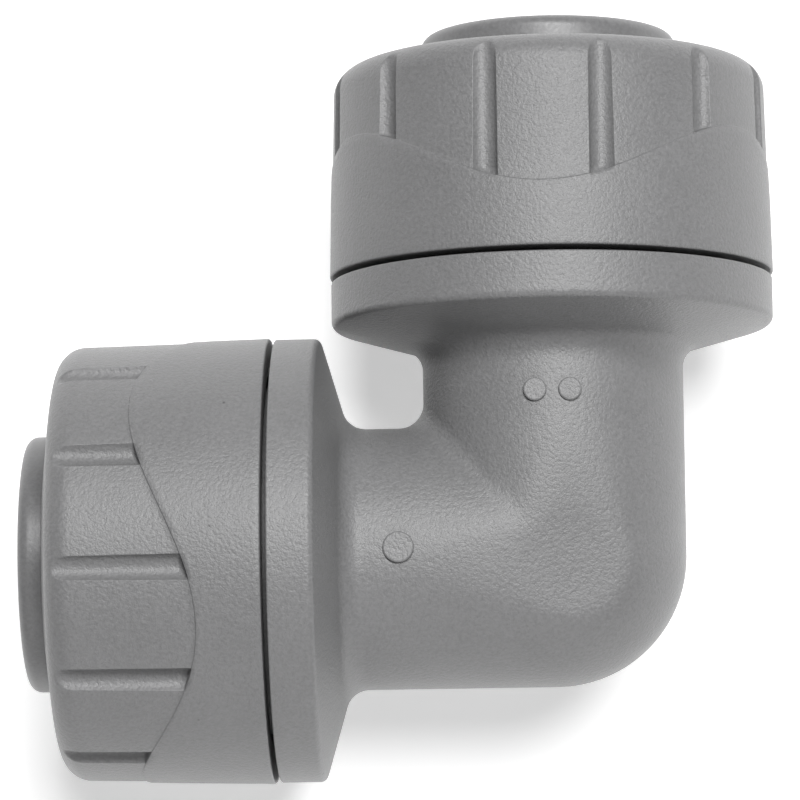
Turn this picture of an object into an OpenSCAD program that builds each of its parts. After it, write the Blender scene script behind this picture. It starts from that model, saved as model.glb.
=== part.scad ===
// Push-fit plumbing elbow, 90 degrees, for 15 mm pipe at both ends.
// Port A points along -X and port B along +Y. The two port axes cross at the origin,
// and the elbow lies flat, so +Z is up. Every port piece is drawn on its own axis,
// with the distance out from the crossing along +Z, and at_port() turns it into place.

/* [Pipe way] */
// Outside diameter of the pipe that the ports take
pipe_d = 15; // [15:0.5:16]
// Clearance on diameter between the pipe and its socket
socket_clearance = 0.2; // [0.1:0.05:0.4]
// Diameter of the waterway through the elbow
waterway_d = 12; // [8:0.5:12.5]
// Distance from the crossing to the shoulder that stops the pipe
pipe_stop = 13.5; // [12.5:0.1:15]

/* [Elbow body] */
// Outside diameter of the two tubes and of the ball that joins them
tube_d = 20.5; // [19.5:0.1:21]
// Distance from the crossing to the flat on the outside of the bend
flat_reach = 9.2; // [9:0.05:9.8]
// Tilt of that flat towards the outside of the bend, in degrees
flat_tilt = 12; // [9:0.5:15]
// Diameter of the flange behind each cap
flange_d = 34.8; // [32:0.1:35]
// Distance from the crossing to the back edge of the flange
flange_back = 18.3; // [18:0.05:19]
// Distance from the crossing to the front face of the flange
flange_front = 21.75; // [21.5:0.05:22.2]
// Radius of the fillet between tube and flange
neck_fillet = 1.9; // [1:0.1:2.2]
// Slope of the cone between the neck and the flange's back edge, in degrees
cone_angle = 16.5; // [12:0.5:24]
// Diameter of the spigot that carries the thread
spigot_d = 27.2; // [27:0.1:27.3]
// Distance from the crossing to the open end of the spigot
spigot_end = 32.6; // [32.4:0.1:32.7]

/* [Caps] */
// Outside diameter of the cap at its open rim
cap_d = 35; // [34.5:0.1:36]
// Draft of the cap's outside, in degrees
draft = 1.2; // [0:0.1:1.5]
// Gap between the cap's skirt and the flange when the fitting is made up
skirt_gap = 0.42; // [0.38:0.01:0.6]
// Distance from the crossing to the cap's front face, at the collar
cap_front = 39.5; // [39.4:0.05:41]
// Depth of the step from the skirt to the fluted front
wave_step = 0.14; // [0.1:0.02:0.3]
// Distance from the crossing to the middle of the skirt's wavy edge
wave_middle = 29.75; // [29:0.1:30.5]
// Height of the waves, from the middle of the edge to a crest
wave_height = 2.6; // [1:0.05:2.8]
// Number of grip flutes around a cap
flutes = 12; // [12:12:24]
// Width of a grip flute
flute_w = 2; // [1.5:0.1:2.6]
// Depth of a grip flute
flute_depth = 0.75; // [0.4:0.05:1]
// Turn of cap A about its axis
cap_a_turn = -21.2; // [-180:0.1:180]
// Turn of cap B about its axis
cap_b_turn = -91.2; // [-180:0.1:180]

/* [Thread] */
// Pitch of the right-hand cap thread
pitch = 3; // [3:0.1:3.2]
// Height of the thread ridges
ridge_h = 0.8; // [0.6:0.05:0.85]

/* [Grip and seal] */
// Outside diameter of the release collar where it shows
collar_d = 20.1; // [19.6:0.1:20.2]
// How far the release collar stands out of the cap's face
collar_out = 1.9; // [1.8:0.05:3]
// Inward travel of the release collar
collar_press = 1.5; // [1:0.1:1.5]
// Number of teeth on the stainless steel grab ring
teeth = 12; // [8:1:16]
// Thickness of the O-ring's section
o_ring_t = 2.6; // [2.5:0.05:2.6]

/* [Hidden] */
$fn = 96;
eps = 0.01;

// Radii along the pipe way
socket_r = (pipe_d + socket_clearance) / 2;
tip_r = pipe_d / 2 - 0.15;          // O-ring bore and tooth tips, smaller than the pipe
guide_r = pipe_d / 2 + 0.25;        // bore of the release collar
seal_r = tip_r + o_ring_t;          // seat of the O-ring
grip_r = 11;                        // seat of the washer, the grab ring and the wedge ring
fit = 0.1;                          // running clearance between neighbouring pieces
slack = 0.05;                       // end play of the wedge ring and of the pressed collar
lip = 0.3;                          // bevel on moulded edges

// Stations along a port, outward from the crossing
socket_length = 9;
seal_floor = pipe_stop + socket_length;
washer_floor = seal_floor + o_ring_t + fit;
washer_t = 1.5;
teeth_room = 3.15;                  // from the washer's floor to the rim of the grab ring
grab_back = washer_floor + teeth_room;
grab_t = 0.4;
wedge_back = grab_back + grab_t;
wedge_proud = 0.5;                  // how far the wedge ring's flange stands off the spigot's end
wedge_flange = spigot_end + wedge_proud;
wedge_front = wedge_flange + 1.1;
face_t = 2.35;                      // thickness of the cap's face at its bore
chamber_front = cap_front - face_t;
nose = wedge_back + collar_press + slack;
collar_end = cap_front + collar_out;

// Thread: where the middle of a ridge starts, and how many turns it makes
thread_start = 25.4;
thread_turns = 2;
thread_lead = 0.7;                  // turns by which the cap's ridge starts ahead

// Cap
cap_r = cap_d / 2;
cap_back = flange_front + skirt_gap;
cap_bore_r = spigot_d / 2 + 1.15;   // inside of the skirt, which the thread ridge stands on
pocket_r = grip_r + 1.75;           // room for the wedge ring's flange
chamber_r = collar_d / 2 + 1.35;    // room for the collar's shoulder
corner = 2.2;                       // rounding between the cap's side and its front face
face_drop = 0.7;                    // fall of the front face from the collar to that rounding
collar_fit = 0.08;                  // radial clearance of the collar in the cap's face
flute_floor = cap_r - (wave_middle - cap_back) * tan(draft) - wave_step - flute_depth;
flute_r = (pow(flute_w / 2, 2) + pow(flute_depth, 2)) / (2 * flute_depth);

// Points of a round stretch: centre, radius, first angle, last angle
function arc(c, r, a0, a1, steps = 8) =
    [for (i = [0:steps]) let (a = a0 + (a1 - a0) * i / steps) [c[0] + r * cos(a), c[1] + r * sin(a)]];

// Turns a piece drawn along +Z onto a port's axis
module at_port(port) {
    rotate(port == "a" ? [0, -90, 0] : [-90, 0, 0]) children();
}

// Solid of revolution from [radius, distance] points
module turned(points) {
    rotate_extrude() polygon(points);
}

// Right-hand helical ridge. It stands on radius r, outward when out = 1 and inward when
// out = -1, and its middle starts at distance z0 at angle a0 and climbs for some turns.
module ridge(r, out, z0, a0, turns) {
    steps = ceil(48 * turns);
    lead = 4;
    root_w = 1.5;
    crest_w = 0.7;
    bed = 0.35;
    section = [for (i = [0:steps])
        let (a = a0 + 360 * turns * i / steps,
             z = z0 + pitch * turns * i / steps,
             rise = min(1, min(i, steps - i) / lead),
             h = -0.1 + (ridge_h + 0.1) * rise,
             r_root = r - out * bed,
             r_crest = r + out * h)
        for (p = [[r_root, -root_w / 2], [r_crest, -crest_w / 2], [r_crest, crest_w / 2], [r_root, root_w / 2]])
        [p[0] * cos(a), p[0] * sin(a), z + p[1]]];
    sides = [for (i = [0:steps - 1], k = [0:3])
        let (n = (k + 1) % 4, b = 4 * i)
        for (t = [[b + k, b + n, b + 4 + n], [b + k, b + 4 + n, b + 4 + k]])
        out > 0 ? t : [t[2], t[1], t[0]]];
    last = 4 * steps;
    ends = [[3, 2, 1, 0], [last, last + 1, last + 2, last + 3]];
    polyhedron(section, concat(sides, out > 0 ? ends : [[0, 1, 2, 3], [last + 3, last + 2, last + 1, last]]));
}

// Outside of one arm of the elbow: tube, fillet, cone, flange and spigot
module arm() {
    tube_r = tube_d / 2;
    flange_r = flange_d / 2;
    slope = [cos(cone_angle), sin(cone_angle)];
    // the fillet touches the cone that ends at the flange's back edge
    fillet_r = tube_r + neck_fillet;
    reach = (flange_r - (fillet_r - neck_fillet * slope[1])) / slope[0];
    fillet_z = flange_back - reach * slope[1] - neck_fillet * slope[0];
    turned(concat(
        [[0, 0], [tube_r, 0]],
        arc([fillet_r, fillet_z], neck_fillet, 180, 90 + cone_angle),
        [[flange_r - lip, flange_back - lip * slope[1] / slope[0]],
         [flange_r, flange_back + lip],
         [flange_r, flange_front - lip],
         [flange_r - lip, flange_front],
         [spigot_d / 2, flange_front],
         [spigot_d / 2, spigot_end - lip],
         [spigot_d / 2 - lip, spigot_end],
         [0, spigot_end]]));
}

// Inside of one arm: waterway, pipe socket, O-ring seat and grip seat
module arm_bore() {
    cylinder(h = pipe_stop + eps, d = waterway_d);
    translate([0, 0, pipe_stop]) cylinder(h = seal_floor - pipe_stop + eps, r = socket_r);
    translate([0, 0, seal_floor]) cylinder(h = washer_floor - seal_floor + eps, r = seal_r);
    translate([0, 0, washer_floor]) cylinder(h = spigot_end - washer_floor + 1, r = grip_r);
}

// Raised round pips on the upper side of a tube tell the ports apart: one on A, two on B
module port_pips() {
    along = 12;                     // distance from the crossing
    apart = 1.35;                   // from the middle of the tube to each of the two
    top = tube_d / 2 + 0.3;
    translate([-along, 0, 0]) cylinder(h = top, d = 2.4);
    for (x = [-apart, apart]) translate([x, along, 0]) cylinder(h = top - 0.1, d = 1.8);
}

// Cuts the shallow flats, above and below, on the outside of the bend
module bend_flats() {
    reach = 9;                      // covers the flat and stays clear of the flanges
    for (side = [0, 1]) mirror([0, 0, side]) rotate([0, flat_tilt, -45])
        translate([0, 0, flat_reach]) cylinder(h = 3, r = reach);
}

// Elbow body: two arms with threaded spigots and a ball between them, bored through
module elbow_body() {
    color("darkgray") difference() {
        union() {
            sphere(d = tube_d);
            for (port = ["a", "b"]) at_port(port) {
                arm();
                ridge(spigot_d / 2, 1, thread_start, 0, thread_turns);
            }
            port_pips();
        }
        bend_flats();
        sphere(d = waterway_d);
        for (port = ["a", "b"]) at_port(port) arm_bore();
    }
}

// Radius of the cap's skirt at a distance from the crossing
function skirt_r(u) = cap_r - (u - cap_back) * tan(draft);

// Cuts one trough of the skirt's wavy edge, a third of the way round
module trough() {
    span = 60;
    translate([cap_r * cos(span) - 2, 0, 0]) rotate([90, 0, 90]) linear_extrude(cap_r)
        polygon(concat([for (a = [-span:4:span]) [cap_r * sin(a), wave_middle - wave_height * cos(3 * a)]],
                       [[cap_r * sin(span), cap_front], [-cap_r * sin(span), cap_front]]));
}

// Screw cap: skirt with a wavy front edge, fluted front, inner thread and collar chamber
module cap(turn) {
    bore_r = collar_d / 2 + collar_fit;
    corner_u = cap_front - face_drop - corner;
    crest = wave_middle + wave_height - 0.1;
    flute_start = wave_middle - wave_height - 1;
    color("gray") {
        difference() {
            union() {
                difference() {
                    turned(concat(
                        [[0, cap_back], [cap_r - wave_step, cap_back]],
                        arc([skirt_r(corner_u) - wave_step - corner, corner_u], corner, draft, 90),
                        [[bore_r, cap_front], [0, cap_front]]));
                    for (k = [0:flutes - 1]) rotate(turn + 360 * (k + 0.5) / flutes)
                        translate([flute_floor + flute_r, 0, flute_start])
                        cylinder(h = cap_front - flute_start + 1, r = flute_r, $fn = 48);
                }
                // the skirt closes the flutes up to its wavy edge
                difference() {
                    turned([[0, cap_back], [cap_r - lip, cap_back], [skirt_r(cap_back + lip), cap_back + lip],
                            [skirt_r(crest), crest], [0, crest]]);
                    for (k = [0:2]) rotate(turn + 120 * k) trough();
                }
            }
            turned([[0, cap_back - 1], [cap_bore_r, cap_back - 1], [cap_bore_r, wedge_flange + fit],
                    [pocket_r, wedge_flange + fit], [pocket_r, wedge_front + slack],
                    [chamber_r, wedge_front + slack], [chamber_r, chamber_front],
                    [bore_r, chamber_front], [bore_r, cap_front + 1], [0, cap_front + 1]]);
        }
        ridge(cap_bore_r, -1, thread_start + (0.5 - thread_lead) * pitch, -thread_lead * 360, thread_turns);
    }
}

// Release collar: pushed in, its nose bears on the teeth of the grab ring
module release_collar() {
    collar_r = collar_d / 2;
    nose_r = guide_r + 1.55;
    nose_bevel = 0.4;
    shoulder_r = collar_r + 0.95;
    shoulder_front = chamber_front - fit;
    shoulder_back = shoulder_front - 1.1;
    edge = 0.9;
    color("darkgray") turned(concat(
        [[guide_r, nose + lip], [guide_r + lip, nose],
         [nose_r - nose_bevel, nose], [nose_r, nose + nose_bevel],
         [nose_r, shoulder_back], [shoulder_r, shoulder_back],
         [shoulder_r, shoulder_front], [collar_r, shoulder_front]],
        arc([collar_r - edge, collar_end - edge], edge, 0, 90),
        [[guide_r + edge, collar_end], [guide_r, collar_end - edge]]));
}

// Wedge ring: carries the grab ring and passes the cap's thrust on to it
module wedge_ring() {
    inner_r = grip_r - fit - 1.25;
    flange_r = pocket_r - 0.25;
    color("whitesmoke") turned([
        [inner_r, wedge_back], [grip_r - fit, wedge_back], [grip_r - fit, wedge_flange],
        [flange_r, wedge_flange], [flange_r, wedge_front],
        [inner_r + lip, wedge_front], [inner_r, wedge_front - lip]]);
}

// Grab ring: a flat rim with teeth that lean inward, down the pipe way
module grab_ring() {
    rim_r = grip_r - 0.15;
    root_r = 9.3;
    lean = 1.1;
    slot_w = 0.8;
    tip = grab_back - lean;
    color("silver") difference() {
        turned([[tip_r, tip], [root_r, grab_back], [rim_r, grab_back],
                [rim_r, grab_back + grab_t], [root_r, grab_back + grab_t], [tip_r, tip + grab_t]]);
        for (k = [0:teeth - 1]) rotate(360 * k / teeth)
            translate([tip_r - 1, -slot_w / 2, tip - 1]) cube([root_r - tip_r + 1, slot_w, lean + 3]);
    }
}

// Spacer washer: keeps the teeth off the O-ring
module spacer_washer() {
    color("dimgray") turned([
        [socket_r + fit, washer_floor], [grip_r - fit, washer_floor],
        [grip_r - fit, washer_floor + washer_t], [socket_r + fit, washer_floor + washer_t]]);
}

// O-ring: seals the pipe against the body
module o_ring() {
    color("black") translate([0, 0, seal_floor + o_ring_t / 2])
        rotate_extrude() translate([tip_r + o_ring_t / 2, 0]) circle(d = o_ring_t, $fn = 48);
}

elbow_body();
at_port("a") cap(cap_a_turn);  // cap_a
at_port("a") release_collar();  // release_collar_a
at_port("a") wedge_ring();  // wedge_ring_a
at_port("a") grab_ring();  // grab_ring_a
at_port("a") spacer_washer();  // spacer_washer_a
at_port("a") o_ring();  // o_ring_a
at_port("b") cap(cap_b_turn);  // cap_b
at_port("b") release_collar();  // release_collar_b
at_port("b") wedge_ring();  // wedge_ring_b
at_port("b") grab_ring();  // grab_ring_b
at_port("b") spacer_washer();  // spacer_washer_b
at_port("b") o_ring();  // o_ring_b
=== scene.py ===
import math

import bpy
import numpy as np
from mathutils import Matrix, Vector


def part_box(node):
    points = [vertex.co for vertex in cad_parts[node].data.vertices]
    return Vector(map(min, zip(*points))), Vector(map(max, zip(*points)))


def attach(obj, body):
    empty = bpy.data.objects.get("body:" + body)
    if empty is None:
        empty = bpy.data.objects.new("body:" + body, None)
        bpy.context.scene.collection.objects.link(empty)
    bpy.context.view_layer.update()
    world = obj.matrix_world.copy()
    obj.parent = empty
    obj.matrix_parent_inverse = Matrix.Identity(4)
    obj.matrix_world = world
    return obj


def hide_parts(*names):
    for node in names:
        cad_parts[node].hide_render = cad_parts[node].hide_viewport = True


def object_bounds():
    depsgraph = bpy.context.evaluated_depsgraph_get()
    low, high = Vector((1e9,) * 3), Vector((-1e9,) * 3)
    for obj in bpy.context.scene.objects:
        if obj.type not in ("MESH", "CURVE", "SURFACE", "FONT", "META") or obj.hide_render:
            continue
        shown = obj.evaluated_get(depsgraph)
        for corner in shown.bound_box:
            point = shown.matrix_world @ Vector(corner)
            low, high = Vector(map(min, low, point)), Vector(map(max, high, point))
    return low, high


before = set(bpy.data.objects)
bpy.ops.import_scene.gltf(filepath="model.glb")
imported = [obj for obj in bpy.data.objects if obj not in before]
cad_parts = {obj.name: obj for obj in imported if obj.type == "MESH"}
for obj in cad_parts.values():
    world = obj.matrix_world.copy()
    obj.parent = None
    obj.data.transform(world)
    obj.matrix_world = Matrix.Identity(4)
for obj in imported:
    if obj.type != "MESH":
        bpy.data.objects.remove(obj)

cad_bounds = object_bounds()

# A grey plastic push-fit elbow for 15 mm pipe. Every port piece is made on its own axis, in
# millimetres, with the distance out from the crossing of the two axes along +Z, and is then
# turned onto its port and scaled to metres.
MM = 0.001
SEGMENTS = 192
PORTS = {
    "a": np.array(Matrix.Rotation(math.radians(-90), 3, "Y")),
    "b": np.array(Matrix.Rotation(math.radians(-90), 3, "X")),
}
ALONG, ACROSS = 1, 2        # row axes along and across port B, where sizes are read

CAP_TURN = {"a": -21.2, "b": -91.2}
DRAFT = math.tan(math.radians(1.2))
FLUTES = 12
FLUTE_WIDTH = 2.0
FLUTE_DEPTH = 0.75
WAVE_MIDDLE = 29.75
WAVE_HEIGHT = 2.6
WAVE_STEP = 0.14
CORNER = 2.2
FACE_DROP = 0.7
THREAD_START = 25.4
PITCH = 3.0
RIDGE_HEIGHT = 0.8
TEETH = 12


def span(node, axis):
    """Lowest and highest place of a CAD node along a row axis, in millimetres."""
    low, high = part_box(node)
    return low[axis] / MM, high[axis] / MM


# Sizes that the frame gives
cap_r = span("cap_b", ACROSS)[1] - 0.004
cap_back, cap_front = span("cap_b", ALONG)
flange_r = span("elbow_body", ACROSS)[1]
spigot_end = span("elbow_body", ALONG)[1]
nose, collar_end = span("release_collar_b", ALONG)
shoulder_r = span("release_collar_b", ACROSS)[1]
wedge_back, wedge_front = span("wedge_ring_b", ALONG)
wedge_r = span("wedge_ring_b", ACROSS)[1]
grab_tip, grab_top = span("grab_ring_b", ALONG)
grab_r = span("grab_ring_b", ACROSS)[1]
washer_floor, washer_top = span("spacer_washer_b", ALONG)
washer_r = span("spacer_washer_b", ACROSS)[1]
seal_floor, seal_top = span("o_ring_b", ALONG)
chamber_front = cap_front - 2.35
seal_r = span("o_ring_b", ACROSS)[1]

# Sizes that follow the design
TUBE_R = 10.25
WATERWAY_R = 6.0
PIPE_STOP = 13.5
SOCKET_R = 7.6
GRIP_R = 11.0
SPIGOT_R = 13.6
FLANGE_BACK = 18.3
FLANGE_FRONT = 21.75
CONE = math.tan(math.radians(16.5))
COLLAR_R = 10.05
GUIDE_R = 7.75
CAP_BORE_R = 14.75
POCKET_R = 12.75
CHAMBER_R = 11.4
INNER_FILLET = 2.0          # in the crease between the tubes, low down
SOFT_FILLET = 6.0           # in the same crease, near the top and the underside
WATERWAY_FILLET = 0.8
NECK_FILLET = 1.9
FIT = 0.1                   # running clearance between neighbouring pieces
SLACK = 0.05                # end play of the wedge ring
COLLAR_FIT = 0.08           # radial clearance of the collar in the cap's face
THREAD_SPACING = 0.17       # between mesh rows along the spigot's thread
CAP_THREAD_SPACING = 0.26   # between mesh rows along the cap's thread
FLAT_REACH = 9.2
FLAT_TILT = math.radians(12)


# ---------------------------------------------------------------- outlines and skins

def rounded(corners, spacing=lambda r, u: 2.0, steps=6):
    """Closed outline through [radius, distance, rounding] corners, each rounded to an arc, with a
    point close to each arc's ends so that flat stretches shade flat, and others as spacing asks."""
    points = []
    count = len(corners)
    for i, (r, u, bend) in enumerate(corners):
        here = np.array([r, u])
        before = np.array(corners[i - 1][:2]) - here
        after = np.array(corners[(i + 1) % count][:2]) - here
        reach = 0.45 * min(np.linalg.norm(before), np.linalg.norm(after))
        before /= np.linalg.norm(before)
        after /= np.linalg.norm(after)
        half = math.acos(max(-1.0, min(1.0, float(before @ after)))) / 2
        if bend <= 0 or half > math.radians(89.5):
            points.append(here)
            continue
        bend = min(bend, reach * math.tan(half))
        tangent = bend / math.tan(half)
        middle = (before + after) / np.linalg.norm(before + after)
        centre = here + middle * bend / math.sin(half)
        first, last = here + before * tangent, here + after * tangent
        hold = min(0.12, 0.3 * tangent + 0.02, reach - tangent if reach > tangent else 0)
        if hold > 0.005:
            points.append(first + before * hold)
        a0 = math.atan2(*(first - centre)[::-1])
        a1 = math.atan2(*(last - centre)[::-1])
        sweep = (a1 - a0 + math.pi) % (2 * math.pi) - math.pi
        for k in range(steps + 1):
            a = a0 + sweep * k / steps
            points.append(centre + bend * np.array([math.cos(a), math.sin(a)]))
        if hold > 0.005:
            points.append(last + after * hold)
    dense = []
    for p, q in zip(points, points[1:] + points[:1]):
        middle = (p + q) / 2
        pieces = max(1, math.ceil(np.linalg.norm(q - p) / spacing(*middle)))
        dense += [p + (q - p) * k / pieces for k in range(pieces)]
    return np.array(dense)


def turned(outline, angles):
    """Rows of a ring: every outline point goes round the port's axis at the given angles."""
    r, u = outline[:, 0][:, None], outline[:, 1][:, None]
    return np.stack([r * np.cos(angles), r * np.sin(angles), u + 0 * angles], axis=-1)


def even_angles(count=SEGMENTS):
    return np.arange(count) * 2 * math.pi / count


def skin(name, rows, port=None):
    """A mesh object whose rows are closed loops, with the last row joined to the first."""
    if port:
        rows = rows @ PORTS[port].T
    count, around = rows.shape[:2]
    index = np.arange(count * around).reshape(count, around)
    beside, above = np.roll(index, -1, axis=1), np.roll(index, -1, axis=0)
    faces = np.stack([index, beside, np.roll(beside, -1, axis=0), above], axis=-1).reshape(-1, 4)
    points = rows.reshape(-1, 3)
    corners = points[faces]
    normals = np.cross(corners[:, 1] - corners[:, 0], corners[:, 2] - corners[:, 0])
    if (corners[:, 0] * normals).sum() < 0:
        faces = faces[:, ::-1]
    return mesh_object(name, points, faces.tolist())


def mesh_object(name, points, faces):
    mesh = bpy.data.meshes.new(name)
    mesh.from_pydata((np.asarray(points) * MM).tolist(), [], faces)
    mesh.polygons.foreach_set("use_smooth", [True] * len(mesh.polygons))
    mesh.update()
    piece = bpy.data.objects.new(name, mesh)
    bpy.context.scene.collection.objects.link(piece)
    return piece


def place(piece, body, node, slot, material):
    """Puts a finished piece on its body, in place of its CAD node."""
    piece.data.materials.append(material)
    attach(piece, body)
    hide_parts(node)


def thread(u, angles, start, first, turns):
    """Height, from 0 to 1, of a right-hand thread ridge at distance u and at each angle. The ridge's
    middle is at start where the angle is 0, and it runs for some turns from the first."""
    lead, root, crest = 0.09, 1.5, 0.7
    turn = angles / (2 * math.pi)
    whole = np.round((u - start) / PITCH - turn)
    along = turn + whole
    off = np.abs(u - start - PITCH * along)
    flank = np.clip((root / 2 - off) / ((root - crest) / 2), 0, 1)
    flank = flank * flank * (3 - 2 * flank)
    return flank * np.clip(np.minimum(along - first, first + turns - along) / lead, 0, 1)


# ---------------------------------------------------------------- elbow body

def arm_outline():
    """Outside then inside of one arm, from the bend out to the spigot's end and back in."""
    def spacing(r, u):
        on_thread = abs(r - SPIGOT_R) < 0.05 and u > FLANGE_FRONT
        return THREAD_SPACING if on_thread else 1.2
    cone = [TUBE_R, FLANGE_BACK - (flange_r - TUBE_R) * CONE, NECK_FILLET]
    outside = [cone, [flange_r, FLANGE_BACK, 0.55], [flange_r, FLANGE_FRONT, 0.14],
               [SPIGOT_R, FLANGE_FRONT, 0.3], [SPIGOT_R, spigot_end, 0.35]]
    inside = [[GRIP_R, spigot_end, 0.4], [GRIP_R, washer_floor, 0.15], [seal_r, washer_floor, 0.2],
              [seal_r, seal_floor, 0.25], [SOCKET_R, seal_floor, 0.3], [SOCKET_R, PIPE_STOP, 0.3],
              [WATERWAY_R, PIPE_STOP, 0.3]]
    bend_at = TUBE_R + INNER_FILLET
    ends = [[TUBE_R, bend_at, 0]], [[WATERWAY_R, bend_at, 0]]
    loop = rounded(ends[0] + outside + inside + ends[1], spacing)
    # the closed outline's last stretch would cross the wall at the bend, so it is left out
    last = np.argmin(np.abs(loop - [WATERWAY_R, bend_at]).sum(axis=1))
    loop = loop[:last + 1]
    top = np.argmax(loop[:, 1] + 0.01 * loop[:, 0])
    return loop[:top + 1], loop[top + 1:]


def arm_rows(outline, port, turn):
    """Rows of one arm. Angles start at the elbow's outer side and pass the top, +Z."""
    out = {"a": np.array([-1.0, 0, 0]), "b": np.array([0, 1.0, 0])}[port]
    side = {"a": np.array([0, -1.0, 0]), "b": np.array([1.0, 0, 0])}[port]
    up = np.array([0, 0, 1.0])
    around = np.cos(turn)[:, None] * side + np.sin(turn)[:, None] * up
    local = around @ PORTS[port]
    angles = np.arctan2(local[:, 1], local[:, 0]) % (2 * math.pi)
    rows = []
    for r, u in outline:
        ridge = 0
        if abs(r - SPIGOT_R) < 0.02 and u > FLANGE_FRONT:
            ridge = RIDGE_HEIGHT * thread(u, angles, THREAD_START, 0, 2)
        rows.append(out * u + around * (r + ridge + 0 * angles)[:, None])
    return np.array(rows)


def bend_rows(radius, fillet, turn, steps=56):
    """Rows round the bend between two tubes of one radius. Outside it is a ball about the crossing,
    and inside a ball of the fillet's radius rolls along the crease between the tubes."""
    wide = radius + fillet
    ellipse = np.linspace(-math.pi / 2, math.pi / 2, 361)
    crease = np.stack([-wide * np.cos(ellipse), wide * np.cos(ellipse), wide * np.sin(ellipse)], axis=-1)

    def from_arm(q, axis, sign):
        """Distance to an arm's axis, and the unit vector away from it."""
        foot = np.zeros_like(q)
        foot[:, axis] = np.where(q[:, axis] * sign > 0, q[:, axis], 0)
        away = q - foot
        length = np.maximum(np.linalg.norm(away, axis=1), 1e-9)
        return length, away / length[:, None], foot

    def depth(q):
        """How far q lies inside the two tubes swollen by the fillet's radius."""
        best = np.full(len(q), 1e9)
        for arm, other in (((0, -1), (1, 1)), ((1, 1), (0, -1))):
            length, away, foot = from_arm(q, *arm)
            nearest = foot + away * wide
            free = from_arm(nearest, *other)[0] >= wide - 1e-6
            best = np.where(free, np.minimum(best, wide - length), best)
        edge = np.sqrt(((q[:, None, :] - crease[None, :, :]) ** 2).sum(axis=2).min(axis=1))
        return np.minimum(best, edge)

    pivot = np.array([-(TUBE_R + INNER_FILLET), TUBE_R + INNER_FILLET, 0])
    rows = []
    for k in range(1, steps):
        a = math.pi / 2 * k / steps
        side = np.array([math.sin(a), -math.cos(a), 0])
        centre = pivot + side * pivot[1] / max(math.cos(a), math.sin(a))
        ray = np.cos(turn)[:, None] * side + np.sin(turn)[:, None] * np.array([0, 0, 1.0])
        near, far = np.zeros(len(turn)), np.full(len(turn), 2.0 * wide)
        for _ in range(26):
            half = (near + far) / 2
            q = centre + ray * half[:, None]
            swollen_in = np.minimum(from_arm(q, 0, -1)[0], from_arm(q, 1, 1)[0]) < wide
            inside = swollen_in & (depth(q) > fillet)
            near, far = np.where(inside, half, near), np.where(inside, far, half)
        rows.append(centre + ray * near[:, None])
    return np.array(rows)


def flattened(rows):
    """The bend's rows with a shallow flat, softly edged, above and below on the outside. The
    flat is very slightly dished."""
    edge, dish, dish_r = 0.55, 0.1, 4.6     # edge's softness, dish's depth and radius
    for side in (1, -1):
        lean = math.sin(FLAT_TILT) / math.sqrt(2)
        away = np.array([lean, -lean, side * math.cos(FLAT_TILT)])
        off_axis = np.linalg.norm(rows - (rows @ away)[..., None] * away, axis=-1)
        over = rows @ away - FLAT_REACH + dish * np.clip(1 - (off_axis / dish_r) ** 2, 0, 1)
        share = np.clip(0.5 + over / (2 * edge), 0, 1)
        drop = np.where(share > 0, over * share + edge * share * (1 - share), 0)
        rows = rows - drop[..., None] * away
    return rows


def pip(x, y, radius, height):
    """A raised round pip on the upper side of a tube, with a softly rounded edge."""
    base, top, bend = TUBE_R - 0.35, TUBE_R + height, 0.14
    outline = [[0.01, base], [radius, base], [radius, top - bend - 0.04]]
    outline += [[radius - bend + bend * math.cos(a), top - bend + bend * math.sin(a)]
                for a in np.linspace(0, math.pi / 2, 6)]
    outline += [[r, top] for r in (radius - bend - 0.04, radius / 2, 0.08, 0.01)]
    rows = turned(np.array(outline), even_angles(48))
    return rows + np.array([x, y, 0])


def make_elbow(material):
    turn = even_angles()
    outer, inner = arm_outline()
    a_out, a_in = arm_rows(outer, "a", turn), arm_rows(inner, "a", turn)
    b_out, b_in = arm_rows(outer, "b", turn), arm_rows(inner, "b", turn)
    # the crease between the tubes is tight low down and softer towards the top and the underside
    tight = bend_rows(TUBE_R, INNER_FILLET, turn)
    soft = bend_rows(TUBE_R, SOFT_FILLET, turn)
    share = np.clip((np.abs(np.sin(turn)) - 0.72) / 0.24, 0, 1)
    share = (share * share * (3 - 2 * share))[None, :, None]
    outside = flattened(tight + (soft - tight) * share)
    inside = bend_rows(WATERWAY_R, WATERWAY_FILLET, turn)
    rows = np.concatenate([a_out[::-1], outside, b_out, b_in, inside[::-1], a_in[::-1]])
    elbow = skin("elbow_body_moulding", rows)
    pips = [pip(-12, 0, 1.2, 0.3), pip(-1.35, 12, 0.9, 0.2), pip(1.35, 12, 0.9, 0.2)]
    marks = [skin("port_mark", p) for p in pips]
    join(elbow, marks)
    place(elbow, "elbow", "elbow_body", "body_plastic", material)


def join(piece, others):
    with bpy.context.temp_override(active_object=piece, selected_editable_objects=[piece] + others):
        bpy.ops.object.join()


# ---------------------------------------------------------------- caps

def cap_angles():
    """Angles round a cap, from the middle of its longest land: fine at the flutes' edges."""
    gap = 2 * math.pi / FLUTES * cap_r
    first, growth, on_land, in_flute, middle = 0.035, 1.3, 0.75, 0.2, 0.1
    offsets = [0.0]
    offset, step = FLUTE_WIDTH / 2, first
    while offset + step < gap / 2:
        offset += step
        offsets.append(offset)
        step = min(step * growth, on_land)
    offsets.append(gap / 2)
    offset, step = FLUTE_WIDTH / 2, first
    offsets.append(offset)
    while offset - step > middle:
        offset -= step
        offsets.append(offset)
        step = min(step * growth, in_flute)
    half = np.array(sorted(set(offsets)))
    around = np.concatenate([-half[::-1], half[1:-1]]) / cap_r
    return np.concatenate([around + 2 * math.pi * (k + 0.5) / FLUTES for k in range(FLUTES)])


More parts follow.
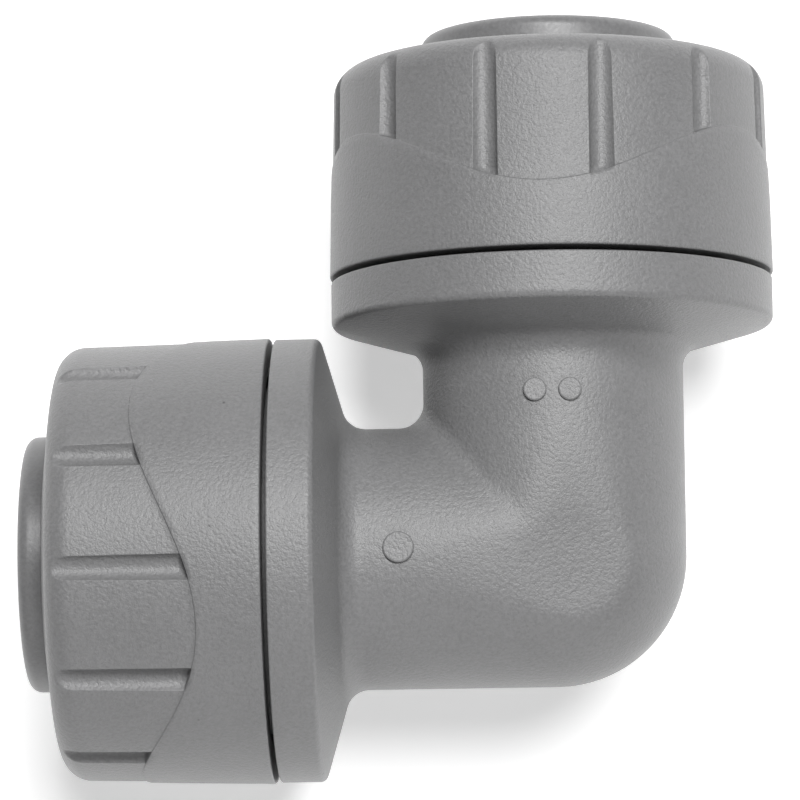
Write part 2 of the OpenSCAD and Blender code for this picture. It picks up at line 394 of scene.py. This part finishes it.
def make_cap(port, material):
    angles = cap_angles()
    off = (angles * FLUTES / (2 * math.pi) % 1 - 0.5) * 2 * math.pi / FLUTES * cap_r
    wave = WAVE_MIDDLE - WAVE_HEIGHT * np.cos(3 * angles)
    flute_r = ((FLUTE_WIDTH / 2) ** 2 + FLUTE_DEPTH ** 2) / (2 * FLUTE_DEPTH)

    def skirt_r(u):
        return cap_r - (u - cap_back) * DRAFT

    # floor of the flutes: a round groove cut along the cap
    within = np.clip(flute_r ** 2 - off ** 2, 0, None)
    middle_r = skirt_r(WAVE_MIDDLE) - WAVE_STEP - FLUTE_DEPTH + flute_r
    floor = np.where(np.abs(off) < flute_r, middle_r - np.sqrt(within), 99)

    front = []          # rows of (radius, distance) from the bore over the face to the side
    bore_r = COLLAR_R + COLLAR_FIT
    corner_u = cap_front - FACE_DROP - CORNER
    corner_r = skirt_r(corner_u) - WAVE_STEP - CORNER
    lip = 0.2
    for a in np.linspace(0, math.pi / 2, 5):
        front.append((bore_r + lip * (1 - math.cos(a)), cap_front - lip * (1 - math.sin(a))))
    for t in np.linspace(0.03, 1, 9):
        front.append((bore_r + lip + (corner_r - bore_r - lip) * t, cap_front - FACE_DROP * t))
    for a in np.linspace(math.pi / 2, math.atan(DRAFT), 19)[1:]:
        front.append((corner_r + CORNER * math.cos(a), corner_u + CORNER * math.sin(a)))

    rows_r, rows_u = [], []
    for r, u in front:
        rows_r.append(np.minimum(r, floor))
        rows_u.append(u + 0 * angles)
    edge, inset = 0.05, 0.03        # half the step's width, and how far its top stands in
    for t in np.linspace(0, 1, 18)[1:]:
        u = corner_u + (wave + edge - corner_u) * t
        rows_r.append(np.minimum(skirt_r(u) - WAVE_STEP, floor))
        rows_u.append(u)
    low = rows_r[-1]
    for t in np.linspace(0, 1, 7)[1:]:
        rise = t * t * (3 - 2 * t)
        u = wave + edge - 2 * edge * t
        rows_r.append(low + (skirt_r(u) - inset - low) * rise)
        rows_u.append(u)
    rim = 0.16
    for t in np.linspace(0, 1, 16)[1:]:
        u = wave - edge + (cap_back + rim - wave + edge) * t
        rows_r.append(skirt_r(u) - inset * (1 - min(1, 4 * t)))
        rows_u.append(u)
    for a in np.linspace(0, math.pi / 2, 6)[1:]:
        rows_r.append(skirt_r(cap_back + rim) - rim * (1 - math.cos(a)) + 0 * angles)
        rows_u.append(cap_back + rim * (1 - math.sin(a)) + 0 * angles)
    outside = np.stack([rows_r, rows_u])

    def spacing(r, u):
        return CAP_THREAD_SPACING if abs(r - CAP_BORE_R) < 0.05 else 1.5
    inside = rounded([[cap_r - 0.35, cap_back, 0], [CAP_BORE_R, cap_back, 0.35],
                      [CAP_BORE_R, wedge_front - 1.0, 0.2], [POCKET_R, wedge_front - 1.0, 0.2],
                      [POCKET_R, wedge_front + SLACK, 0.1], [CHAMBER_R, wedge_front + SLACK, 0.2],
                      [CHAMBER_R, chamber_front, 0.3], [bore_r, chamber_front, 0.2],
                      [bore_r, cap_front - 0.25, 0]], spacing)
    stop = np.argmin(np.abs(inside - [bore_r, cap_front - 0.25]).sum(axis=1))
    inside = inside[:stop + 1]
    port_angles = angles + math.radians(CAP_TURN[port])
    inner_r = []
    for r, u in inside:
        ridge = 0
        if abs(r - CAP_BORE_R) < 0.02:
            ridge = RIDGE_HEIGHT * thread(u, port_angles, THREAD_START + PITCH / 2, -0.7, 2)
        inner_r.append(r - ridge + 0 * angles)
    inner_u = [u + 0 * angles for r, u in inside]
    r = np.concatenate([outside[0], inner_r])
    u = np.concatenate([outside[1], inner_u])
    rows = np.stack([r * np.cos(port_angles), r * np.sin(port_angles), u], axis=-1)
    cap = "cap_" + port
    place(skin(cap + "_moulding", rows, port), cap, cap, "cap_plastic", material)


# ---------------------------------------------------------------- collar and inner pieces

def ring(name, corners, port, body, node, slot, material, steps=6):
    rows = turned(rounded(corners, steps=steps), even_angles())
    place(skin(name, rows, port), body, node, slot, material)


def make_collar(port, material):
    nose_r = GUIDE_R + 1.55
    shelf = chamber_front - FIT
    corners = [[GUIDE_R, nose, 0.25], [nose_r, nose, 0.4], [nose_r, shelf - 1.1, 0.2],
               [shoulder_r, shelf - 1.1, 0.2], [shoulder_r, shelf, 0.15], [COLLAR_R, shelf, 0.1],
               [COLLAR_R, collar_end, 0.9], [GUIDE_R, collar_end, 0.9]]
    ring("release_collar_" + port + "_sleeve", corners, port, "collar_" + port,
         "release_collar_" + port, "collar_plastic", material, steps=10)


def make_wedge_ring(port, material):
    inner_r = GRIP_R - FIT - 1.25
    flange = wedge_front - 1.1
    corners = [[inner_r, wedge_back, 0.15], [GRIP_R - FIT, wedge_back, 0.2], [GRIP_R - FIT, flange, 0.2],
               [wedge_r, flange, 0.2], [wedge_r, wedge_front, 0.2], [inner_r, wedge_front, 0.35]]
    ring("wedge_ring_" + port + "_moulding", corners, port, "grip_" + port,
         "wedge_ring_" + port, "inner_plastic", material)


def make_washer(port, material):
    inner_r = SOCKET_R + FIT
    corners = [[inner_r, washer_floor, 0.25], [washer_r, washer_floor, 0.2],
               [washer_r, washer_top, 0.2], [inner_r, washer_top, 0.35]]
    ring("spacer_washer_" + port + "_ring", corners, port, "elbow",
         "spacer_washer_" + port, "washer_plastic", material)


def make_o_ring(port, material):
    half = (seal_top - seal_floor) / 2
    a = even_angles(48)
    outline = np.stack([seal_r - half + half * np.cos(a), seal_floor + half + half * np.sin(a)], axis=-1)
    place(skin("o_ring_" + port + "_seal", turned(outline, even_angles()), port), "elbow",
          "o_ring_" + port, "seal_rubber", material)


def make_grab_ring(port, material):
    """Thin stamped ring: a flat rim, and teeth that lean down the pipe way with slots between."""
    tip_r, root_r, thick = 7.35, 9.3, 0.4
    lean = grab_top - thick - grab_tip
    tooth, slot = 20, 5
    share = np.concatenate([np.linspace(0, 0.16, slot, endpoint=False), np.linspace(0.16, 1, tooth)])
    share = share[:-1]
    turns = np.concatenate([(k - share[slot // 2 + 1] + share) for k in range(TEETH)])
    angles = turns * 2 * math.pi / TEETH
    in_slot = np.tile(np.arange(len(share)) < slot, TEETH)
    radii = np.concatenate([np.linspace(tip_r, root_r, 9), np.linspace(root_r + 0.15, grab_r, 6)])
    cut = radii[:-1] < root_r - 0.1
    drop = lean * np.clip((root_r - radii) / (root_r - tip_r), 0, 1)
    around = len(angles)
    points, faces = [], []
    for height in (0.0, thick):
        for r, d in zip(radii, drop):
            for a in angles:
                points.append([r * math.cos(a), r * math.sin(a), grab_top - thick - d + height])
    layer = len(radii) * around

    def solid(i, j):
        return 0 <= i < len(radii) - 1 and not (cut[i] and in_slot[j % around])
    for i in range(len(radii) - 1):
        for j in range(around):
            if not solid(i, j):
                continue
            n = (j + 1) % around
            p, q, s, t = i * around + j, i * around + n, (i + 1) * around + n, (i + 1) * around + j
            faces.append([p, q, s, t])
            faces.append([layer + t, layer + s, layer + q, layer + p])
            for ok, x, y in ((solid(i - 1, j), p, q), (solid(i + 1, j), s, t),
                             (solid(i, j - 1), t, p), (solid(i, j + 1), q, s)):
                if not ok:
                    faces.append([y, x, layer + x, layer + y])
    used = sorted({v for f in faces for v in f})
    number = {v: k for k, v in enumerate(used)}
    points = np.array(points)[used] @ PORTS[port].T
    piece = mesh_object("grab_ring_" + port + "_stamping", points, [[number[v] for v in f] for f in faces])
    piece.data.polygons.foreach_set("use_smooth", [False] * len(piece.data.polygons))
    place(piece, "grip_" + port, "grab_ring_" + port, "spring_steel", material)


# ---------------------------------------------------------------- materials

class Nodes:
    """Short ways to build one material's node tree."""

    def __init__(self, name):
        self.material = bpy.data.materials.new(name)
        self.material.use_nodes = True
        self.tree = self.material.node_tree
        self.shader = self.tree.nodes["Principled BSDF"]
        self.place = self.add("ShaderNodeTexCoord").outputs["Object"]

    def add(self, kind, **settings):
        node = self.tree.nodes.new(kind)
        for key, value in settings.items():
            setattr(node, key, value)
        return node

    def link(self, source, target):
        self.tree.links.new(source, target)

    def noise(self, size_mm, detail=2.0, roughness=0.5):
        node = self.add("ShaderNodeTexNoise")
        node.inputs["Scale"].default_value = 1 / (size_mm * MM)
        node.inputs["Detail"].default_value = detail
        node.inputs["Roughness"].default_value = roughness
        self.link(self.place, node.inputs["Vector"])
        return node.outputs["Fac"]

    def remap(self, value, low, high, to_low, to_high):
        node = self.add("ShaderNodeMapRange")
        for key, number in zip(("From Min", "From Max", "To Min", "To Max"), (low, high, to_low, to_high)):
            node.inputs[key].default_value = number
        self.link(value, node.inputs["Value"])
        return node.outputs["Result"]

    def maths(self, kind, first, second):
        node = self.add("ShaderNodeMath", operation=kind)
        for socket, value in zip(node.inputs, (first, second)):
            if isinstance(value, (int, float)):
                socket.default_value = value
            else:
                self.link(value, socket)
        return node.outputs["Value"]

    def tint(self, colour, factor):
        """The colour multiplied by a factor that varies over the surface."""
        node = self.add("ShaderNodeVectorMath", operation="SCALE")
        node.inputs[0].default_value = colour
        self.link(factor, node.inputs["Scale"])
        return node.outputs["Vector"]

    def bump(self, height, distance_mm, strength, before=None):
        node = self.add("ShaderNodeBump")
        node.inputs["Distance"].default_value = distance_mm * MM
        node.inputs["Strength"].default_value = strength
        self.link(height, node.inputs["Height"])
        if before is not None:
            self.link(before, node.inputs["Normal"])
        return node.outputs["Normal"]


def moulded_plastic(name, colour, roughness, grain=0.08, specks=True):
    """Matt moulded plastic: fine etched grain, a faint cloudiness and a few dark specks."""
    n = Nodes(name)
    fine = n.noise(0.28, detail=3, roughness=0.65)
    cloud = n.noise(6.0, detail=2)
    orange_peel = n.noise(0.9, detail=2)
    factor = n.maths("MULTIPLY", n.remap(fine, 0.3, 0.7, 0.88, 1.12), n.remap(cloud, 0.3, 0.7, 0.97, 1.03))
    if specks:
        dots = n.add("ShaderNodeTexVoronoi")
        dots.inputs["Scale"].default_value = 1 / (5 * MM)
        n.link(n.place, dots.inputs["Vector"])
        factor = n.maths("MULTIPLY", factor, n.remap(dots.outputs["Distance"], 0.02, 0.035, 0.35, 1.0))
    n.link(n.tint(colour, factor), n.shader.inputs["Base Color"])
    n.link(n.remap(fine, 0.3, 0.7, roughness - 0.07, roughness + 0.07), n.shader.inputs["Roughness"])
    first = n.bump(orange_peel, 0.03, 0.4)
    n.link(n.bump(fine, grain, 1.0, first), n.shader.inputs["Normal"])
    n.shader.inputs["Specular IOR Level"].default_value = 0.5
    return n.material


def rubber(name, colour):
    n = Nodes(name)
    fine = n.noise(0.12, detail=2)
    n.link(n.tint(colour, n.remap(n.noise(1.5), 0.3, 0.7, 0.8, 1.2)), n.shader.inputs["Base Color"])
    n.link(n.remap(fine, 0.3, 0.7, 0.32, 0.48), n.shader.inputs["Roughness"])
    n.link(n.bump(fine, 0.01, 0.4), n.shader.inputs["Normal"])
    return n.material


def stamped_steel(name, colour):
    n = Nodes(name)
    n.shader.inputs["Metallic"].default_value = 1.0
    fine = n.noise(0.08, detail=3)
    smear = n.noise(1.2, detail=2)
    n.link(n.tint(colour, n.remap(smear, 0.3, 0.7, 0.9, 1.05)), n.shader.inputs["Base Color"])
    n.link(n.remap(fine, 0.3, 0.7, 0.22, 0.38), n.shader.inputs["Roughness"])
    n.link(n.bump(fine, 0.004, 0.5), n.shader.inputs["Normal"])
    return n.material


def make_pieces():
    body = moulded_plastic("grey_moulded_body", (0.176, 0.176, 0.178), 0.42)
    cap = moulded_plastic("grey_moulded_cap", (0.172, 0.172, 0.174), 0.43)
    collar = moulded_plastic("grey_moulded_collar", (0.16, 0.16, 0.162), 0.42, grain=0.02, specks=False)
    natural = moulded_plastic("natural_acetal", (0.72, 0.71, 0.68), 0.42, grain=0.01, specks=False)
    black = moulded_plastic("black_nylon", (0.03, 0.03, 0.03), 0.45, grain=0.01, specks=False)
    seal = rubber("epdm_rubber", (0.012, 0.012, 0.012))
    steel = stamped_steel("stainless_steel", (0.62, 0.61, 0.6))
    make_elbow(body)
    for port in PORTS:
        make_cap(port, cap)
        make_collar(port, collar)
        make_wedge_ring(port, natural)
        make_grab_ring(port, steel)
        make_washer(port, black)
        make_o_ring(port, seal)


# ---------------------------------------------------------------- camera, floor and light

def make_camera():
    """Looks down on the elbow lying flat, nearly square on, with port B leaning away a little."""
    lean_b, lean_a, roll = 6.97, 2.07, 0.98
    distance, lens = 400 * MM, 229.3
    aim = Vector((-12.24, 12.29, 0)) * MM
    turn = (Matrix.Rotation(math.radians(lean_b), 3, "X") @ Matrix.Rotation(math.radians(lean_a), 3, "Y")
            @ Matrix.Rotation(math.radians(-roll), 3, "Z"))
    data = bpy.data.cameras.new("camera")
    data.lens = lens
    data.sensor_width = 36
    data.clip_start = 0.01
    camera = bpy.data.objects.new("camera", data)
    camera.matrix_world = Matrix.Translation(turn @ (aim + Vector((0, 0, distance)))) @ turn.to_4x4()
    bpy.context.scene.collection.objects.link(camera)
    bpy.context.scene.camera = camera


def make_floor():
    low = cad_bounds[0].z
    size = 3.0
    mesh = bpy.data.meshes.new("floor")
    mesh.from_pydata([(-size, -size, low), (size, -size, low), (size, size, low), (-size, size, low)],
                     [], [(0, 1, 2, 3)])
    floor = bpy.data.objects.new("floor", mesh)
    bpy.context.scene.collection.objects.link(floor)
    n = Nodes("white_paper")
    mottle = n.remap(n.noise(40.0), 0.3, 0.7, 0.99, 1.0)
    n.link(n.tint((0.93, 0.93, 0.93), mottle), n.shader.inputs["Base Color"])
    n.shader.inputs["Roughness"].default_value = 0.9
    n.shader.inputs["Emission Color"].default_value = (1, 1, 1, 1)
    n.shader.inputs["Emission Strength"].default_value = 0.45
    floor.data.materials.append(n.material)


def area_light(name, place, size, power):
    data = bpy.data.lights.new(name, "AREA")
    data.shape = "DISK"
    data.size = size
    data.energy = power
    light = bpy.data.objects.new(name, data)
    light.location = place
    light.rotation_euler = (-Vector(place)).to_track_quat("-Z", "Y").to_euler()
    bpy.context.scene.collection.objects.link(light)


def make_light():
    area_light("above", (0, 0.4, 0.9), 0.3, 6.8)
    area_light("right", (0.25, 0.2, 0.9), 0.3, 6.0)
    area_light("front_low", (0, -0.9, 0.45), 0.9, 3.2)
    world = bpy.data.worlds.new("studio")
    world.use_nodes = True
    world.node_tree.nodes["Background"].inputs["Color"].default_value = (1, 1, 1, 1)
    world.node_tree.nodes["Background"].inputs["Strength"].default_value = 0.02
    bpy.context.scene.world = world
    bpy.context.scene.view_settings.view_transform = "Standard"


make_camera()
make_floor()
make_light()
make_pieces()
